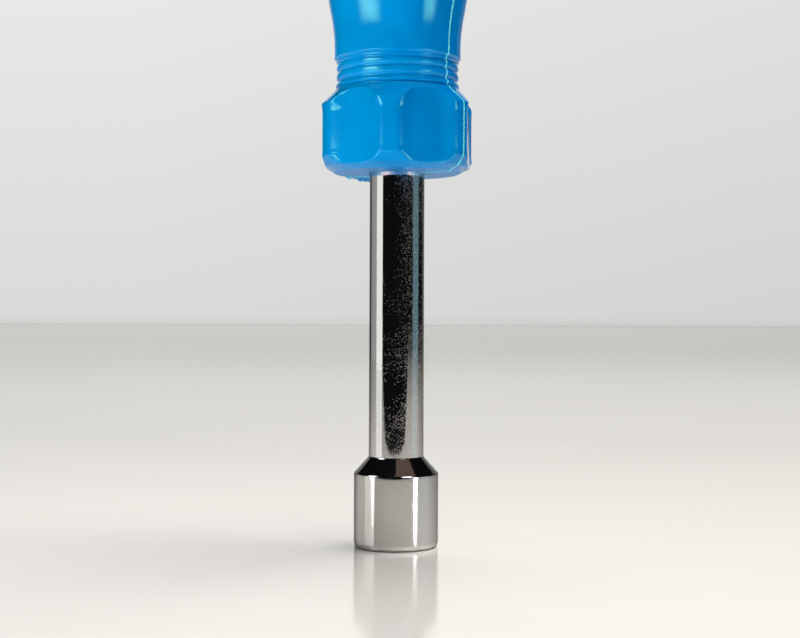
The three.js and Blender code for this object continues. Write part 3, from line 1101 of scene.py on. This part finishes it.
# Lamps for the handle alone: beside its facets, high up for its rings, and low down for its underside
BOX_AIM = (0, 0, 0.08)
RINGS_AIM = (0, 0, 0.1)
HANDLE_LAMPS = (
    Lamp("left_box", -48, 0.25, 0.08, (0.22, 0.07), 0.85, (1.0, 0.4, 0.25), BOX_AIM, soft=True),
    Lamp("left_tall_box", -52, 0.3, 0.245, (0.25, 0.15), 2.35, (0.95, 0.56, 0.38), RINGS_AIM, soft=True),
    Lamp("left_low_box", -45, 0.17, 0.001, (0.17, 0.13), 0.38, (0.95, 0.68, 0.6), None),
    Lamp("right_box", 55, 0.25, 0.08, (0.13, 0.07), 0.34, (1.0, 0.5, 0.36), BOX_AIM, soft=True),
    Lamp("right_low_box", 55, 0.17, 0.001, (0.07, 0.1), 0.14, (1.0, 0.62, 0.56), None),
    Lamp("front_glow", -2, 0.2, 0.001, (0.24, 0.05), 0.28, WHITE, None, seen=False),
)


def add_lamp(lamp, lit=()):
    """Put a lamp into the scene, for everything or for the lit pieces alone."""
    data = bpy.data.lights.new(lamp.name, "AREA")
    data.spread = math.radians(lamp.spread)
    data.shape = "RECTANGLE"
    data.size, data.size_y = lamp.size
    data.energy = lamp.watts
    data.color = lamp.colour
    if lamp.soft:
        soften(data)
    piece = bpy.data.objects.new(lamp.name, data)
    piece.location = direction(lamp.azimuth) * lamp.distance + Vector((0, 0, lamp.height))
    if lamp.aim:
        piece.rotation_euler = turned_towards(lamp.aim, piece.location)
    else:
        piece.rotation_euler = (math.pi, 0, math.radians(lamp.azimuth + CAMERA_TURN_DEG))
    piece.visible_camera = False
    piece.visible_glossy = lamp.seen
    bpy.context.scene.collection.objects.link(piece)
    if lit:
        group = bpy.data.collections.new(lamp.name + "_lights")
        for name in lit:
            group.objects.link(bpy.data.objects[name])
        piece.light_linking.receiver_collection = group


def add_room():
    """The table, whose front edge is cut back to just before the tool, and the wall at its far end."""
    add_sheet(
        "table_top",
        [
            (-TABLE_FRONT_HALF_WIDTH, -TABLE_FRONT, 0),
            (TABLE_FRONT_HALF_WIDTH, -TABLE_FRONT, 0),
            (ROOM_HALF_WIDTH, -TABLE_CORNER, 0),
            (ROOM_HALF_WIDTH, TABLE_BACK, 0),
            (-ROOM_HALF_WIDTH, TABLE_BACK, 0),
            (-ROOM_HALF_WIDTH, -TABLE_CORNER, 0),
        ],
        table_surface(),
    )
    add_sheet(
        "back_wall",
        [
            (-ROOM_HALF_WIDTH, WALL_DISTANCE, WALL_BOTTOM),
            (ROOM_HALF_WIDTH, WALL_DISTANCE, WALL_BOTTOM),
            (ROOM_HALF_WIDTH, WALL_DISTANCE, WALL_TOP),
            (-ROOM_HALF_WIDTH, WALL_DISTANCE, WALL_TOP),
        ],
        wall_surface(),
    )


def add_world():
    """A world that is pale for the camera and nearly dark for everything else."""
    world = bpy.data.worlds.new("studio")
    world.use_nodes = True
    n = Nodes(world.node_tree)
    dark = n.tree.nodes["Background"]
    dark.inputs["Color"].default_value = WORLD_DARK_COLOUR
    pale = n.add("ShaderNodeBackground", {"Color": WORLD_PALE_COLOUR})
    seen = n.add("ShaderNodeLightPath").outputs["Is Camera Ray"]
    backgrounds = {1: dark.outputs["Background"], 2: pale.outputs["Background"]}
    shown = n.add("ShaderNodeMixShader", {"Fac": seen, **backgrounds}).outputs["Shader"]
    n.put(shown, n.tree.nodes["World Output"].inputs["Surface"])
    bpy.context.scene.world = world


place(make_handle(), "handle", blue_plastic())
place(make_disc(), "butt_disc", disc_plastic())
place(make_shaft(), "hollow_shaft", chrome("chrome_shaft", 1.0, (0.90, 0.90, 0.89)))
place(make_socket(), "hex_socket", chrome("chrome_socket", 0.3, (0.73, 0.725, 0.71)))
steel = turned_steel()
finish_hidden("torque_collar", steel)
finish_hidden("bore_plug", steel)

add_camera()
add_room()
for group, lit in (
    (ROOM_LAMPS, ()),
    (METAL_CARDS, ("hollow_shaft_tube", "hex_socket_head", "table_top")),
    (STRIPS, ()),
    (HANDLE_LAMPS, ("handle_moulding",)),
):
    for lamp in group:
        add_lamp(lamp, lit)
add_world()
bpy.context.scene.view_settings.view_transform = "Standard"
